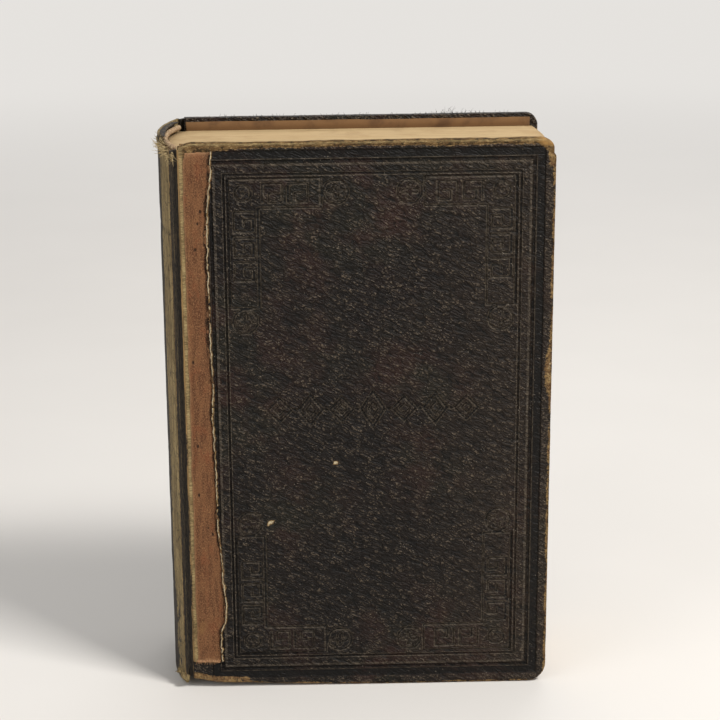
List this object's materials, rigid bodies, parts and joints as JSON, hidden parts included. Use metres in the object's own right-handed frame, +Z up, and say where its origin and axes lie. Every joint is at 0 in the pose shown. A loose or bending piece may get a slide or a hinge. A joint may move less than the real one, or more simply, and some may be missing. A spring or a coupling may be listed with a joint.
{
  "type": "leather-bound bible",
  "caption": "Closed leather-bound book standing on its tail: two tooled boards on cords, rounded spine, sewn leaves, flyleaves and an opening middle.",
  "frame": {"origin": "on the ground under the middle of the closed book, standing on its tail edges", "axes": "+Z up along the spine towards the head, +X from spine to fore-edge, -Y out of the front cover"},
  "size_m": [0.13, 0.05, 0.192],
  "materials": {
    "black_leather": "worn grained black-brown leather",
    "bare_leather": "red-brown suede left where the face came off",
    "pasteboard": "tan greyboard, rubbed",
    "leaves": "thin bible paper, toned cream",
    "endpaper": "toned laid paper",
    "pastedown_paper": "paper stained brown by the leather",
    "lining_paper": "glued spine lining paper",
    "band_thread": "cream and faded pink sewn band",
    "hemp": "twisted hemp"
  },
  "bodies": {
    "back_pages": {"spine_leather": "black_leather", "spine_lining": "lining_paper", "headband": "band_thread", "tailband": "band_thread", "sewing_cords": "hemp", "sewing_thread": "hemp", "back_gathering_1": "leaves", "back_gathering_2": "leaves", "back_gathering_3": "leaves", "back_gathering_4": "leaves", "back_gathering_5": "leaves", "back_gathering_6": "leaves", "back_gathering_7": "leaves", "back_gathering_8": "leaves"},
    "front_pages": {"front_gathering_1": "leaves", "front_gathering_2": "leaves", "front_gathering_3": "leaves", "front_gathering_4": "leaves", "front_gathering_5": "leaves", "front_gathering_6": "leaves", "front_gathering_7": "leaves", "front_gathering_8": "leaves"},
    "middle_leaf": {"middle_leaf": "leaves"},
    "front_board": {"front_board": "pasteboard", "front_cover_leather": "black_leather", "front_bare_strip": "bare_leather", "front_pastedown": "pastedown_paper", "front_cord_slips": "hemp", "front_joint_leather": "black_leather"},
    "back_board": {"back_board": "pasteboard", "back_cover_leather": "black_leather", "back_pastedown": "pastedown_paper", "back_cord_slips": "hemp", "back_joint_leather": "black_leather"},
    "front_flyleaf": {"front_flyleaf": "endpaper"},
    "back_flyleaf": {"back_flyleaf": "endpaper"}
  },
  "joints": [
    {"name": "opening", "type": "hinge", "parent": "back_pages", "child": "front_pages", "pos_m": [-0.065, 0, 0.096], "axis": [0, 0, -1], "range_deg": [0, 100], "deforming": ["spine_leather", "spine_lining", "headband", "tailband", "sewing_cords"]},
    {"name": "middle_leaf_turn", "type": "hinge", "parent": "back_pages", "child": "middle_leaf", "pos_m": [-0.065, 0, 0.096], "axis": [0, 0, -1], "range_deg": [0, 50]},
    {"name": "front_board_hinge", "type": "hinge", "parent": "front_pages", "child": "front_board", "pos_m": [-0.05811, -0.025, 0.096], "axis": [0, 0, -1], "range_deg": [0, 125], "deforming": ["front_joint_leather"]},
    {"name": "front_flyleaf_turn", "type": "hinge", "parent": "front_pages", "child": "front_flyleaf", "pos_m": [-0.05781, -0.0209, 0.096], "axis": [0, 0, -1], "range_deg": [0, 62.5]},
    {"name": "back_board_hinge", "type": "hinge", "parent": "back_pages", "child": "back_board", "pos_m": [-0.05811, 0.025, 0.096], "axis": [0, 0, 1], "range_deg": [0, 125], "deforming": ["back_joint_leather"]},
    {"name": "back_flyleaf_turn", "type": "hinge", "parent": "back_pages", "child": "back_flyleaf", "pos_m": [-0.05781, 0.0209, 0.096], "axis": [0, 0, 1], "range_deg": [0, 62.5]}
  ],
  "couplings": [
    {"joint": "middle_leaf_turn", "follows": "opening", "ratio": 0.5},
    {"joint": "front_flyleaf_turn", "follows": "front_board_hinge", "ratio": 0.5},
    {"joint": "back_flyleaf_turn", "follows": "back_board_hinge", "ratio": 0.5}
  ]
}
